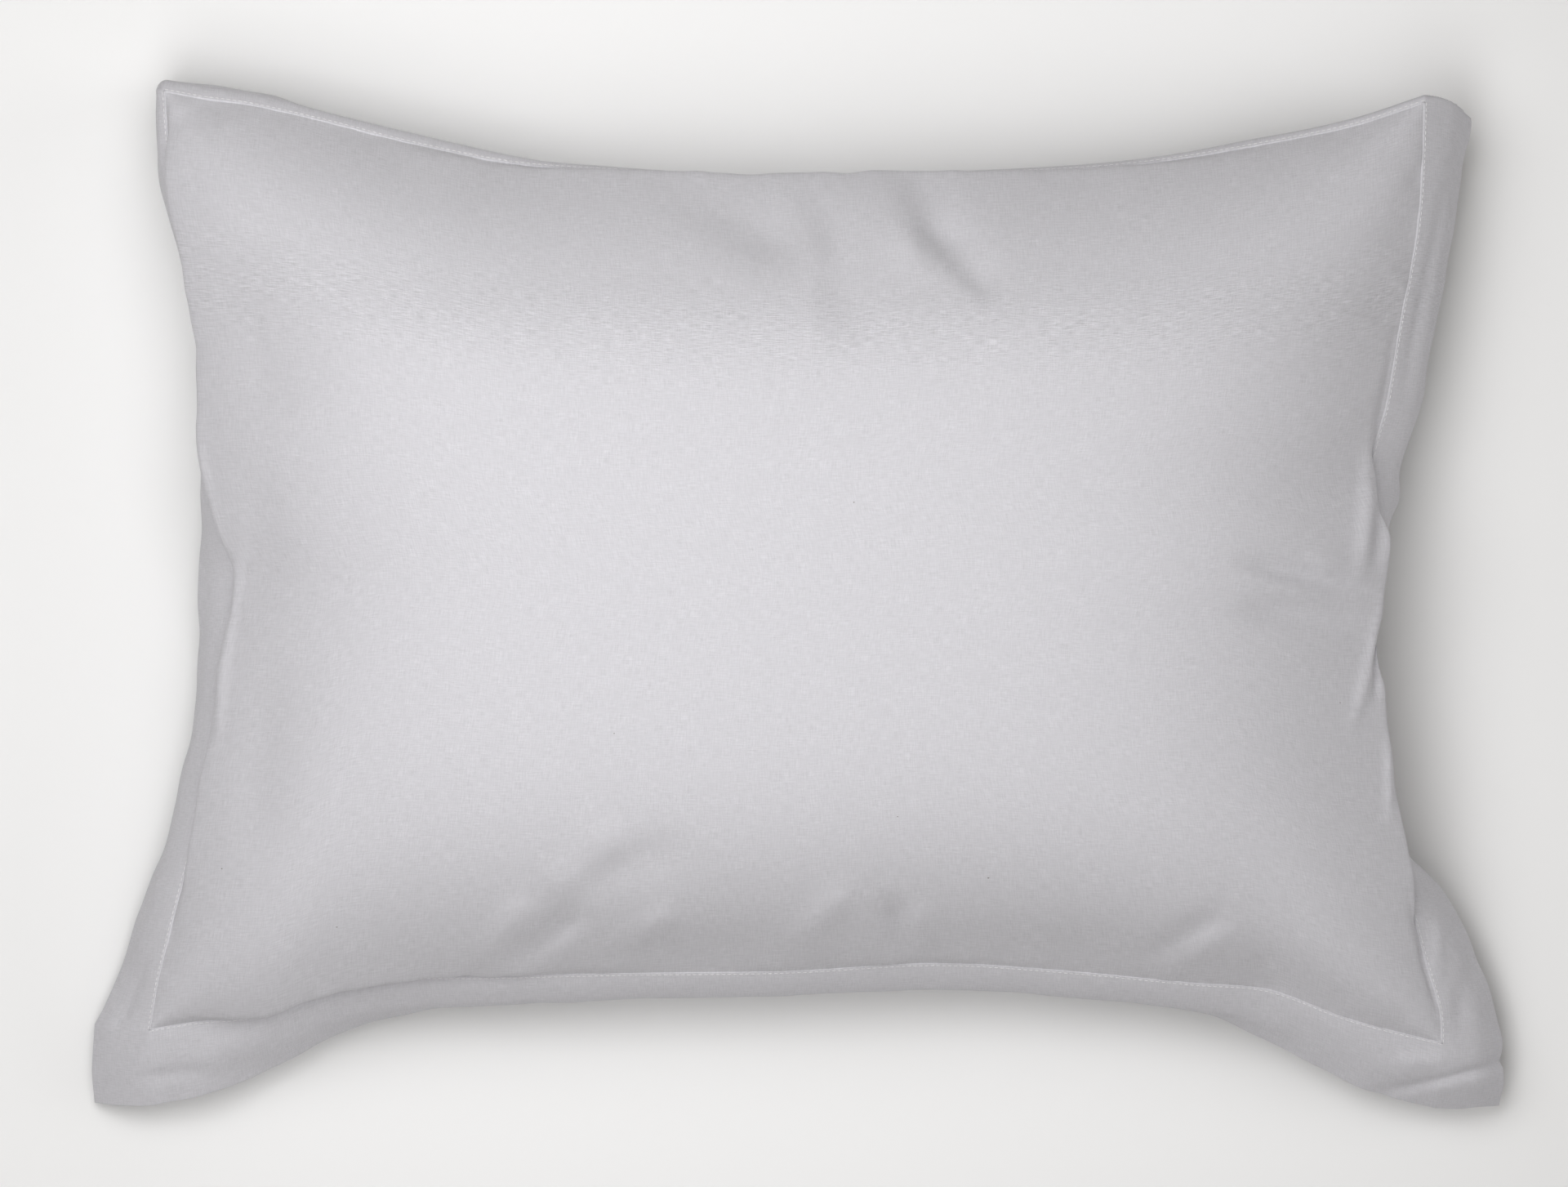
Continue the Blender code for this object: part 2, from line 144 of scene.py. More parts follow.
LEFT = rows(
    SECTION,
    (0.00, 0, 0, 33.5, 5, 8),
    (0.05, 4.3, 0, 25, 6, 12),
    (0.12, 12.5, 2, 23.3, 8, 18),
    (0.20, 22.5, 7, 18, 12, 22),
    (0.28, 31.5, 10.5, 18, 15, 22),
    (0.34, 37.5, 10.5, 19, 15, 20),
    (0.42, 43.5, 10.5, 22.5, 12, 18),
    (0.48, 47.5, 9, 27.5, 10, 15),
    (0.54, 39, 12, 18.5, 15, 18),
    (0.61, 31.5, 13, 10, 30, 10),
    (0.70, 26, 11, 5, 40, 0),
    (0.77, 20.5, 10, 3.5, 35, 0),
    (0.84, 14.5, 11.5, 10.2, 40, 0),
    (0.90, 7.5, 11, 12, 42, 0),
    (0.94, 3.5, 7, 10.6, 42, 0),
    (1.00, 0, 0, 6.2, 42, 0),
)

# Each side runs between two corners. outward points away from the pillow, and rise is how much higher the
# stitched line lies at the side's middle than between its corners.
SIDES = {
    "top": dict(table=TOP, start="top_left", end="top_right", outward=(0.0, 1.0), rise=15.0),
    "right": dict(table=RIGHT, start="bottom_right", end="top_right", outward=(1.0, 0.0), rise=14.0),
    "bottom": dict(table=BOTTOM, start="bottom_left", end="bottom_right", outward=(0.0, -1.0), rise=21.0),
    "left": dict(table=LEFT, start="bottom_left", end="top_left", outward=(-1.0, 0.0), rise=18.0),
}

# The rise spreads towards the corners as its power gets lower, and starts level within about this share.
RISE_SPREAD = 0.6
RISE_START = 0.03

# How each panel rolls over to its sides: it stays full for longer as fullness grows, and meets the side more
# steeply as edge gets lower.
FRONT_SHAPE = {
    "top": dict(fullness=3.4, edge=1.05),
    "right": dict(fullness=4.4, edge=1.05),
    "bottom": dict(fullness=4.4, edge=1.03),
    "left": dict(fullness=5.8, edge=1.00),
}
BACK_SHAPE = {
    side: dict(fullness=fullness, edge=0.60) for side, fullness in zip(SIDES, (2.6, 2.8, 2.6, 2.8))
}
CORNER_FULLNESS = 1.3

# How deep the back would hang if nothing held it up, and how far above the floor it starts to round into it.
BACK_CROWN = 122.0
FLATTENED = 12.0

# How far in from the seam the swell comes up and dies away again, and the gain that makes its peak about 1.
SWELL_DEPTH = 4.5
SWELL_FADE = 35.0
SWELL_GAIN = 1.3

# How far in from the seam the rim's folds come up, the gain that lets the others in by a place's share of the
# crown, and half the gap between the panels at the seam.
RIM_DEPTH = 3.0
FOLD_GAIN = 2.0
SEAM_HALF = 0.5

# The gathers along a seam: one for each spacing, with places and widths between two limits. Each peaks at
# 1.5 of its widths in, and grows wider from there.
GATHER_SPACING = 11.0
GATHER_ENDS = (0.03, 0.97)
GATHER_WIDTHS = (2.6, 8.0)
GATHER_TILT = 0.35
GATHER_PEAK = 1.5
GATHER_SPREAD = 0.25

# The border's curl lies about as far from the stitches as it reaches out, between two limits, and its tuck
# about a place across it. The upper left corner hangs down, where its diagonal is longer than its width.
BEND_DEPTH = (4.0, 8.0)
TUCK_PLACE = 0.5
TUCK_SOFTNESS = 0.06
HANGING_DIAGONAL = 1.22

# Lines of points across the border, as distances: those by the stitches from them, those by the edge from it,
# and even ones between, a margin in. The first is tucked in behind the stitches, and they follow the thread's
# line. In a corner the tucked lines start just outside the stitches, scaled closer together.
SEAM_TUCK = 1.4
SEAM_LINES = (-SEAM_TUCK, -0.8, -0.2, 0.4, 1.2)
EDGE_LINES = (1.2, 0.7, 0.35, 0.12, 0.0)
EVEN_LINES = 23
EVEN_MARGIN = 2.2
THREAD_LINE = 3
CORNER_START = 0.01
CORNER_SCALE = 0.02

# The folds of the front, from the top seam round to the left.
FRONT_FOLDS = rows(
    FOLD,
    (-32, 199, -36, 76, 19, -7.5, 0.2),
    (2, 192, -62, 60, 10, 2, 0),
    (20, 172, -80, 80, 12, -5, 0.1),
    (49, 202, -63, 76, 14, 5.5, 0),
    (67, 204, -76, 64, 13, -7.5, 0.3),
    (84, 171, -51, 50, 9, -4.5, 0.4),
    (10, 137, 1, 520, 25, 2.4, -0.2),
    (-288, 140, -60, 95, 25, -5, 0.2),
    (-281, 30, 88, 60, 14, -3, 0),
    (-280, -85, 85, 90, 18, -4, 0),
    (263, 8.5, -13, 66, 5.5, -5.5, 0.3),
    (284, 12, -16, 38, 4.5, 3, 0),
    (262, -11, -5, 64, 7.5, -5, 0),
    (-151, -177, 57, 44, 10, 4, -0.2),
    (-130, -180, 42, 44, 8, -6, 0.2),
    (-108, -138, 38, 48, 10, 3.5, 0.1),
    (-89, -138, 8, 66, 14, -3, -0.1),
    (-78, -175, 34, 34, 8, 4, 0),
    (-55, -191, 3, 78, 11, -6, 0.3),
    (12, -168, 50, 40, 8, 3.5, 0),
    (54, -177, -71, 38, 7, -6.5, 0),
    (65, -180, -75, 36, 6.5, 4.5, 0),
    (122, -190, -1, 112, 11, -5.5, 0.3),
    (197, -181, 36, 52, 8, -3.5, 0),
    (207, -187, 36, 46, 7, 2, 0),
    (229, -200, 14, 42, 8, -5, 0.2),
)

# Creases and ridges where the front rolls over to its seams. They rise along the cloth's normals.
RIM_FOLDS = rows(
    FOLD,
    (296, 44, 84, 62, 4.5, 2.6, 0),
    (304.5, 42, 84, 50, 4, -2.4, 0),
    (305.5, 57, -64, 26, 2.6, 1.8, 0),
    (310.5, 35, 90, 28, 2.2, 1.4, 0),
    (303.5, -33, 84, 40, 2.6, -2.8, 0),
    (298, -36, 74, 62, 3.4, 2, 0),
    (309, -95, 90, 42, 2.6, 1.5, 0),
    (306, 95, 80, 72, 4, -1.6, 0),
    (-296.5, -27, 82, 98, 2.8, 1.8, 0),
    (-309, 62, 102, 60, 3, 1.2, 0),
    (330.5, -191, -73, 58, 2.8, -2.4, 0),
)

# Creases and waves of the border.
BORDER_FOLDS = rows(
    FOLD,
    (-354.5, -216.6, -112, 44, 4.5, 1.8, 0),
    (-331.6, -254.8, 9, 32, 4.5, 1.4, 0),
    (350, -255.5, 13.6, 74, 3.2, 2.6, 0.3),
    (328, -246, 4, 22, 5, -1.8, 0),
    (353, -212, 70, 40, 7, 1.6, 0),
    (335, -190, 80, 34, 5, -2, 0),
    (-368, -240, 60, 44, 8, -1.6, 0),
    (-300, -240, 20, 40, 8, -1.4, 0),
    (280, -240, -30, 46, 8, 1.4, 0),
    (333, 175, 76, 130, 4.5, 1.8, 0),
    (342, 165, 77, 110, 4, -1.4, 0),
    (-319, 85, 88, 60, 5, -2, 0),
)

# Places where the border's edge is drawn to one side, by how much, and how far round them that reaches.
BORDER_PULLS = rows(
    ("x", "y", "along", "up", "spread"),
    (355, 259, 1, -9, 24),
    (-373, -268, -1, 0, 14),
)

# Slow waves of the border: how many go round it, their height at its edge, where they start, and their slant.
# Waves and pulls grow as a power of the share across, and creases by a gain on it, up to 1.
BORDER_WAVES = rows(
    ("count", "height", "start", "slant"),
    (31, 0.5, 0.4, 0),
    (53, 0.35, 1.9, 2),
    (97, 0.2, 0, -1.5),
)
EDGE_GROWTH = 1.5
CREASE_GROWTH = 4.0

# A stitch: its rings' places, their girth as a share of the thread's, how far its middle stands out, how far
# its ends dip below that, its sides, and how far ahead its direction is taken from.
STITCH_PLACES = np.array((-1.0, -0.8, -0.35, 0.35, 0.8, 1.0))
STITCH_GIRTHS = np.array((0.35, 0.8, 1.0, 1.0, 0.8, 0.35))
STITCH_PROUD = 0.12
STITCH_DIP = 0.38
STITCH_SIDES = 6
AHEAD = 0.5

# Dark seed specks in the yarn: place on the front, and size across. Each is a low dome of rings, narrower one
# way, whose rim is sunk into the cloth.
SPECKS = rows(
    ("x", "y", "size"),
    (52, -112.4, 0.9),
    (98.9, -146, 1.3),
    (-92, -70.3, 0.8),
    (29.7, 45.8, 0.9),
    (-238.2, -172.2, 1.1),
    (-299.3, -142.1, 1.2),
    (-312.2, -91.8, 0.9),
    (281.2, -56.5, 0.9),
    (-232.6, -214.8, 0.8),
)
SPECK_RINGS = np.array((0.15, 0.45, 0.8, 1.0))
SPECK_SIDES = 8
SPECK_WIDTH = 0.7
SPECK_HEIGHT = 0.25
SPECK_SUNK = 0.05

# Mesh spacing: cells along and across a panel, how far they crowd to the seams, where the cloth turns under,
# stations along a side of the border, rays in each half of its corners, and samples of the path across it.
FRONT_CELLS = (316, 228)
CROWDING = 0.9
SIDE_CELLS = {"top": 330, "right": 236, "bottom": 330, "left": 236}
CORNER_CELLS = 24
ARC_SAMPLES = 173
SEED = 7


def linear(code):
    """The linear colour of an sRGB hex code such as #c0c0c4."""
    parts = np.array([int(code[i:i + 2], 16) for i in (1, 3, 5)]) / 255.0
    return tuple(np.where(parts <= 0.04045, parts / 12.92, ((parts + 0.055) / 1.055) ** 2.4))


def length_property(name, description, default, least):
    """A size in metres."""
    return bpy.props.FloatProperty(
        name=name, description=description, default=default, min=least, unit="LENGTH")


def colour_property(name, description, code):
    """A colour, set to an sRGB hex code."""
    return bpy.props.FloatVectorProperty(
        name=name, description=description, subtype="COLOR", default=linear(code), min=0.0, max=1.0)


class PillowcaseSizes(bpy.types.PropertyGroup):
    """Sizes that a user would change, in metres."""

    front_crown: length_property("Front crown", "Height of the front over the stitched line", 0.086, 0.0)
    border_width: length_property("Border width", "Width of the border outside the stitches", 0.050, 0.001)
    border_thickness: length_property("Border thickness", "Thickness of both layers of cloth", 0.0018, 0.0001)
    pucker: length_property("Pucker", "Height of the largest gathers along the seams", 0.0011, 0.0)
    stitch_pitch: length_property("Stitch pitch", "Distance from one stitch to the next", 0.00305, 0.0005)
    stitch_length: length_property("Stitch length", "Length of thread that shows in a stitch", 0.0026, 0.0002)
    thread_width: length_property("Thread width", "Width of the sewing thread", 0.00038, 0.0001)


class PillowcaseColours(bpy.types.PropertyGroup):
    """Colours that a user would change."""

    cloth: colour_property("Cloth", "Cool light grey cotton", "#cfced3")
    thread: colour_property("Thread", "Sewing thread, paler than the cloth", "#ebeaec")
    speck: colour_property("Specks", "Bits of seed husk in the yarn", "#8d8a88")
    floor: colour_property("Floor", "Pale studio floor", "#f7f7f7")


def sizes():
    """The sizes, as set in the panel."""
    return bpy.context.scene.pillowcase_sizes


def colours():
    """The colours, as set in the panel."""
    return bpy.context.scene.pillowcase_colours


def at_share(side, column, share):
    """A column of a side's table at any share: a cubic through its rows, with each row's slope taken from
    the rows beside it."""
    table = SIDES[side]["table"]
    places = table["share"]
    values = table[column]
    slopes = np.gradient(values, places)
    row = np.clip(np.searchsorted(places, share, side="right") - 1, 0, len(places) - 2)
    span = places[row + 1] - places[row]
    t = (share - places[row]) / span
    rise = values[row + 1] - values[row]
    ease = t * t * (3.0 - 2.0 * t)
    bend_start = t * (1.0 - t) ** 2 * span * slopes[row]
    bend_end = t * t * (t - 1.0) * span * slopes[row + 1]
    return values[row] + rise * ease + bend_start + bend_end


def crowded(cells):
    """Shares from 0 to 1: even steps blended with a sine of them, which crowds both ends."""
    even = np.linspace(-1.0, 1.0, cells + 1)
    crowd = np.sin(0.5 * math.pi * even)
    return 0.5 + 0.5 * ((1.0 - CROWDING) * even + CROWDING * crowd)


def rise_share(share):
    """How much of its rise the stitched line has at each share of a side: a sine to the power of the spread,
    rounded at both ends so that it leaves the corners level."""
    power = 0.5 * RISE_SPREAD
    least = RISE_START ** RISE_SPREAD
    rounded = (np.sin(math.pi * share) ** 2 + RISE_START ** 2) ** power - least
    return rounded / ((1.0 + RISE_START ** 2) ** power - least)


def stitched_line(side, share):
    """Points of the stitched line: straight between its corners, less the inset, plus the rise."""
    start = CORNERS[SIDES[side]["start"]]
    end = CORNERS[SIDES[side]["end"]]
    points = start + (end - start) * share[..., None]
    inset = at_share(side, "inset", share)
    points[..., :2] -= np.array(SIDES[side]["outward"]) * inset[..., None]
    points[..., 2] += SIDES[side]["rise"] * rise_share(share)
    return points


def between_sides(p, q):
    """The patch that spans the stitched line: the blend of two opposite sides, plus the blend of the other
    two, less the blend of the four corners. p runs left to right and q bottom to top."""
    across = (1.0 - p)[..., None] * stitched_line("left", q) + p[..., None] * stitched_line("right", q)
    along = (1.0 - q)[..., None] * stitched_line("bottom", p) + q[..., None] * stitched_line("top", p)
    low = (1.0 - p)[..., None] * CORNERS["bottom_left"] + p[..., None] * CORNERS["bottom_right"]
    high = (1.0 - p)[..., None] * CORNERS["top_left"] + p[..., None] * CORNERS["top_right"]
    flat = (1.0 - q)[..., None] * low + q[..., None] * high
    return across + along - flat


def roundness(towards, distance):
    """One less the distance to the power of fullness, to the power of edge. It is 0 at a side."""
    return np.clip(1.0 - distance ** towards["fullness"], 0.0, 1.0) ** towards["edge"]


def dome(shape, p, q):
    """A panel's height as a share of its crown: the product of its roundness along and across, over the root
    of their powers' sum less their product's, which keeps a slope in the corners where a product has none."""
    u = 2.0 * p - 1.0
    v = 2.0 * q - 1.0
    along = np.where(u < 0.0, roundness(shape["left"], abs(u)), roundness(shape["right"], abs(u)))
    up = np.where(v < 0.0, roundness(shape["bottom"], abs(v)), roundness(shape["top"], abs(v)))
    product = along * up
    power = CORNER_FULLNESS
    return product / np.maximum(along ** power + up ** power - product ** power, 1e-9) ** (1.0 / power)


def swell(p, q):
    """How far the front is pushed out in plan, for each side: one less a bell curve of its depth, which
    carries the front out over the stitches, times an exponential that slowly falls off inwards."""
    length = CORNERS["bottom_right"][0] - CORNERS["bottom_left"][0]
    width = CORNERS["top_left"][1] - CORNERS["bottom_left"][1]
    push = np.zeros(p.shape + (2,))
    for side, share, depth in (
        ("left", q, p * length),
        ("right", q, (1.0 - p) * length),
        ("bottom", p, q * width),
        ("top", p, (1.0 - q) * width),
    ):
        rise = SWELL_GAIN * (1.0 - np.exp(-(depth / SWELL_DEPTH) ** 2)) * np.exp(-depth / SWELL_FADE)
        push += (at_share(side, "swell", share) * rise)[..., None] * np.array(SIDES[side]["outward"])
    return push


def folds(table, points):
    """The height of the folds at each point: each is a ridge or dent whose height falls off as a fourth power
    along it and a square across it, in an exponential. Lean widens one side of it and narrows the other."""
    height = np.zeros(points.shape[:-1])
    for fold in table:
        turn = math.radians(fold["direction"])
        x = points[..., 0] - fold["x"]
        y = points[..., 1] - fold["y"]
        along = x * math.cos(turn) + y * math.sin(turn)
        across = y * math.cos(turn) - x * math.sin(turn)
        width = fold["width"] * (1.0 + fold["lean"] * np.tanh(across / fold["width"]))
        height += fold["height"] * np.exp(-(2.0 * along / fold["length"]) ** 4 - (across / width) ** 2)
    return height


def gathers(place, depth, random):
    """The height of the small gathers along one seam. Each runs in from the stitches at its own tilt, widens
    as it goes, and rises and dies away as depth times its falling exponential."""
    length = float(place.max())
    count = int(length / GATHER_SPACING)
    height = np.zeros(place.shape)
    for middle, tilt, width, size in zip(
        random.uniform(*GATHER_ENDS, count) * length,
        random.normal(0.0, GATHER_TILT, count),
        random.uniform(*GATHER_WIDTHS, count),
        random.uniform(-1.0, 1.0, count),
    ):
        near = depth / (GATHER_PEAK * width)
        spread = width * (1.0 + GATHER_SPREAD * near)
        share = size * width / GATHER_WIDTHS[1] * near * np.exp(1.0 - near)
        height += share * np.exp(-((place - middle - tilt * depth) / spread) ** 2)
    return height


def flattened(height):
    """Heights above the surface it lies on: a parabola rounds them into it, and below that they are 0."""
    rounded = (height + FLATTENED) ** 2 / (4.0 * FLATTENED)
    return np.where(height > FLATTENED, height, np.where(height > -FLATTENED, rounded, 0.0))


def unit(vectors):
    """Vectors over their lengths."""
    return vectors / np.maximum(np.linalg.norm(vectors, axis=-1, keepdims=True), 1e-9)


def surface_normals(points, closed_along=False):
    """Unit normals of a grid of points: the cross product of its steps along both parameters, of which the
    first can be closed on itself."""
    if closed_along:
        along = np.roll(points, -1, axis=0) - np.roll(points, 1, axis=0)
    else:
        along = np.gradient(points, axis=0)
    return unit(np.cross(along, np.gradient(points, axis=1)))


def cloth_depth(points, axis):
    """Distance along the cloth from both ends of a grid's lines: sums of its steps, forwards and back."""
    steps = np.linalg.norm(np.diff(points, axis=axis), axis=-1)
    start = np.insert(np.cumsum(steps, axis=axis), 0, 0.0, axis=axis)
    return start, np.take(start, [-1], axis=axis) - start


def nearest_seam(points):
    """Distance along the cloth to the nearest seam."""
    ends = [depth for axis in (0, 1) for depth in cloth_depth(points, axis)]
    return np.minimum.reduce(ends)


def gathered(points, p, q):
    """The panel with gathers along its four seams, added along its normals."""
    random = np.random.RandomState(SEED)
    height = np.zeros(p.shape)
    for axis, place in ((0, q * 2.0 * CUT_HALF[1]), (1, p * 2.0 * CUT_HALF[0])):
        for depth in cloth_depth(points, axis):
            height += gathers(place, depth, random)
    return points + surface_normals(points) * (height * sizes().pucker / MM)[..., None]


def front_panel(p, q):
    """The front: the patch between the sides, plus its dome, its swell over the stitches and its folds. The
    rim's folds come in from the seam as one less a bell curve."""
    points = between_sides(p, q)
    share = dome(FRONT_SHAPE, p, q)
    points[..., :2] += swell(p, q)
    points[..., 2] += sizes().front_crown / MM * share + SEAM_HALF
    points[..., 2] += folds(FRONT_FOLDS, points) * np.minimum(1.0, FOLD_GAIN * share)
    rim = folds(RIM_FOLDS, points) * (1.0 - np.exp(-(nearest_seam(points) / RIM_DEPTH) ** 2))
    return gathered(points + surface_normals(points) * rim[..., None], p, q)


def back_panel(p, q):
    """The back: the patch between the sides, less its dome, flattened where it rests."""
    points = between_sides(p, q)
    points[..., 2] = flattened(points[..., 2] - BACK_CROWN * dome(BACK_SHAPE, p, q) - SEAM_HALF)
    return points


def border_path(side, share):
    """The border's path out from the stitches at each share of a side: distances out and down. Its angle
    below level grows by curl as one less the exponential of a falling cube, and by tuck as a logistic curve.
    The path's mean cosine and sine give the angle that brings its edge out to reach."""
    width = sizes().border_width / MM
    t = np.linspace(0.0, 1.0, ARC_SAMPLES)
    turned = 1.0 / (1.0 + np.exp((TUCK_PLACE - t) / TUCK_SOFTNESS))
    reach = at_share(side, "reach", share)
    near = t * width / np.clip(reach, *BEND_DEPTH)[:, None]
    bend = np.radians(at_share(side, "curl", share))[:, None] * (1.0 - np.exp(-near ** 3))
    bend = bend + np.radians(at_share(side, "tuck", share))[:, None] * turned
    cosine = np.cos(bend).mean(axis=1)
    sine = np.sin(bend).mean(axis=1)
    part = reach / (width * np.hypot(cosine, sine))
    angle = (np.arccos(np.clip(part, -1.0, 1.0)) - np.arctan2(sine, cosine))[:, None] + bend
    middle = 0.5 * (angle[:, 1:] + angle[:, :-1])
    step = width / (ARC_SAMPLES - 1)
    out = np.insert(np.cumsum(np.cos(middle), axis=1) * step, 0, 0.0, axis=1)
    down = np.insert(np.cumsum(np.sin(middle), axis=1) * step, 0, 0.0, axis=1)
    return out, down


def at_distance(path, distance):
    """Distances out and down along a path, at distances across the border: linear between its samples, and
    carried straight on behind the stitches, where the cloth is tucked in."""
    pick = distance / (sizes().border_width / MM) * (ARC_SAMPLES - 1)
    low = np.clip(np.floor(pick).astype(int), 0, ARC_SAMPLES - 2)
    part = pick - low
    return [line[..., low] * (1.0 - part) + line[..., low + 1] * part for line in path]


def across_border():
    """Distances across the border, closer together at both of its edges."""
    width = sizes().border_width / MM
    even = np.linspace(EVEN_MARGIN, width - EVEN_MARGIN, EVEN_LINES)
    return np.concatenate((SEAM_LINES, even, width - np.array(EDGE_LINES)))


def across_corner():
    """Distances across a corner's cloth: those of the border, but with the part that is tucked in behind the
    stitches drawn together just outside them, because all of a corner's rays start at one point."""
    across = across_border()
    return np.where(across > 0.0, across, CORNER_START + CORNER_SCALE * (across + SEAM_TUCK))


def share_across():
    """Distances across the border as shares of its width, and 0 behind the stitches."""
    return np.maximum(across_border(), 0.0) / (sizes().border_width / MM)


def cut_corner(corner):
    """Where a corner of the stitched line lies in the cutting pattern."""
    return CUT_HALF * (1.0 if "right" in corner else -1.0, 1.0 if "top" in corner else -1.0)


def border_side(side, share):
    """One side of the border: its middle surface, and where that lies in the cutting pattern."""
    outward = np.array(SIDES[side]["outward"])
    across = across_border()
    out, down = at_distance(border_path(side, share), across)
    points = np.repeat(stitched_line(side, share)[:, None, :], len(across), axis=1)
    points[..., :2] += out[..., None] * outward
    points[..., 2] -= down
    start = cut_corner(SIDES[side]["start"])
    end = cut_corner(SIDES[side]["end"])
    seam = start + (end - start) * share[:, None]
    return points, seam[:, None, :] + across[None, :, None] * outward


def corner_sides(corner, sides):
    """Two sides' paths where they end at a corner, and the directions that they lead out in."""
    paths = []
    for side in sides:
        share = np.array([float(SIDES[side]["end"] == corner)])
        paths.append([line[0] for line in border_path(side, share)])
    return paths + [np.array(SIDES[side]["outward"]) for side in sides]


def square_corner(corner, sides):
    """The square of cloth outside a corner, as rays: the corner, plus one side's path out to the ray's reach
    that way, plus the other side's path out to its reach. Both drops add up as a right triangle's sides."""
    path_a, path_b, outward_a, outward_b = corner_sides(corner, sides)
    steps = np.linspace(0.0, 1.0, CORNER_CELLS + 1)
    reach_a = np.concatenate((np.ones(CORNER_CELLS), steps[-2:0:-1]))[:, None] * across_corner()
    reach_b = np.concatenate((steps[1:], np.ones(CORNER_CELLS - 1)))[:, None] * across_corner()
    out_a, down_a = at_distance(path_a, reach_a)
    out_b, down_b = at_distance(path_b, reach_b)
    points = np.tile(CORNERS[corner], reach_a.shape + (1,))
    points[..., :2] += out_a[..., None] * outward_a
    points[..., :2] += out_b[..., None] * outward_b
    points[..., 2] -= np.hypot(down_a, down_b)
    return points, cut_corner(corner) + reach_a[..., None] * outward_a + reach_b[..., None] * outward_b


def hanging_corner(corner, sides):
    """A corner whose cloth hangs down, as rays that turn from one side to the next: each follows a blend of
    the two paths, and its drop is longer towards the diagonal."""
    path_a, path_b, outward_a, outward_b = corner_sides(corner, sides)
    turn = np.linspace(0.0, 1.0, 2 * CORNER_CELLS + 1)[1:-1, None]
    angle = 0.5 * math.pi * turn
    direction = np.cos(angle) * outward_a + np.sin(angle) * outward_b
    across = across_corner()
    longer = np.minimum(1.0 / np.maximum(np.cos(angle), np.sin(angle)), HANGING_DIAGONAL)
    out_a, down_a = at_distance(path_a, across)
    out_b, down_b = at_distance(path_b, across)
    out = out_a * (1.0 - turn) + out_b * turn
    down = down_a * (1.0 - turn) + down_b * turn
    points = np.tile(CORNERS[corner], out.shape + (1,))
    points[..., :2] += out[..., None] * direction[:, None, :]
    points[..., 2] -= down * longer
    flat = np.minimum(1.0, np.cos(angle) * math.sqrt(2.0)) * outward_a
    flat = flat + np.minimum(1.0, np.sin(angle) * math.sqrt(2.0)) * outward_b
    return points, cut_corner(corner) + across[None, :, None] * flat[:, None, :]


def border_surface():
    """The border's middle surface as a closed ring of rays, clockwise from the upper left corner, and its
    cutting pattern."""
    stations = {side: np.linspace(0.0, 1.0, cells + 1) for side, cells in SIDE_CELLS.items()}
    parts = (
        border_side("top", stations["top"]),
        square_corner("top_right", ("top", "right")),
        border_side("right", stations["right"][::-1]),
        square_corner("bottom_right", ("right", "bottom")),
        border_side("bottom", stations["bottom"][::-1]),
        square_corner("bottom_left", ("bottom", "left")),
        border_side("left", stations["left"]),
        hanging_corner("top_left", ("left", "top")),
    )
    points = np.concatenate([part[0] for part in parts])
    cut = np.concatenate([part[1] for part in parts])
    place = points[..., :2].copy()
    growth = share_across() ** EDGE_GROWTH
    for pull in BORDER_PULLS:
        away = np.hypot(place[..., 0] - pull["x"], place[..., 1] - pull["y"])
        near = growth * np.exp(-(away / pull["spread"]) ** 2)
        points[..., 0] += pull["along"] * near
        points[..., 1] += pull["up"] * near
    return points, cut


def waved(points, normals):
    """The border with its creases, and with slow waves that grow towards its edge: a sum of sines of the
    ray's place round the ring. Both are added along its normals."""
    share = share_across()
    turn = np.linspace(0.0, 2.0 * math.pi, len(points), endpoint=False)[:, None]
    height = np.zeros(points.shape[:-1])
    for wave in BORDER_WAVES:
        height += wave["height"] * np.sin(wave["count"] * turn + wave["slant"] * share + wave["start"])
    height *= share ** EDGE_GROWTH
    height += folds(BORDER_FOLDS, points) * np.minimum(1.0, CREASE_GROWTH * share)
    return points + normals * height[..., None]


def grid_faces(wide, high, wrap=False):
    """Quads of a grid of points, wide by high. A wrapped grid closes on itself both ways."""
    cells = (wide, high) if wrap else (wide - 1, high - 1)
    i, j = np.indices(cells)
    next_i = (i + 1) % wide * high
    next_j = (j + 1) % high
    return np.stack((i * high + j, next_i + j, next_i + next_j, i * high + next_j), -1).reshape(-1, 4)


def grid_edge(wide, high):
    """The points round a grid's edge, from its first corner, counter-clockwise seen from its front."""
    index = np.arange(wide * high).reshape(wide, high)
    return np.concatenate((index[:-1, 0], index[-1, :-1], index[:0:-1, -1], index[0, :0:-1]))


def ring_faces(rings, sides, count):
    """Faces of pieces made of rings of points: quads from each ring to the next, and a cap on both ends."""
    number = np.arange(rings * sides).reshape(rings, sides)
    beside = np.roll(number, -1, axis=1)
    walls = np.stack((number[:-1], number[1:], beside[1:], beside[:-1]), -1).reshape(-1, 4)
    caps = np.stack((number[0], number[-1, ::-1]))
    first = np.arange(count)[:, None, None] * number.size
    return (walls + first).reshape(-1, 4).tolist() + (caps + first).reshape(-1, sides).tolist()


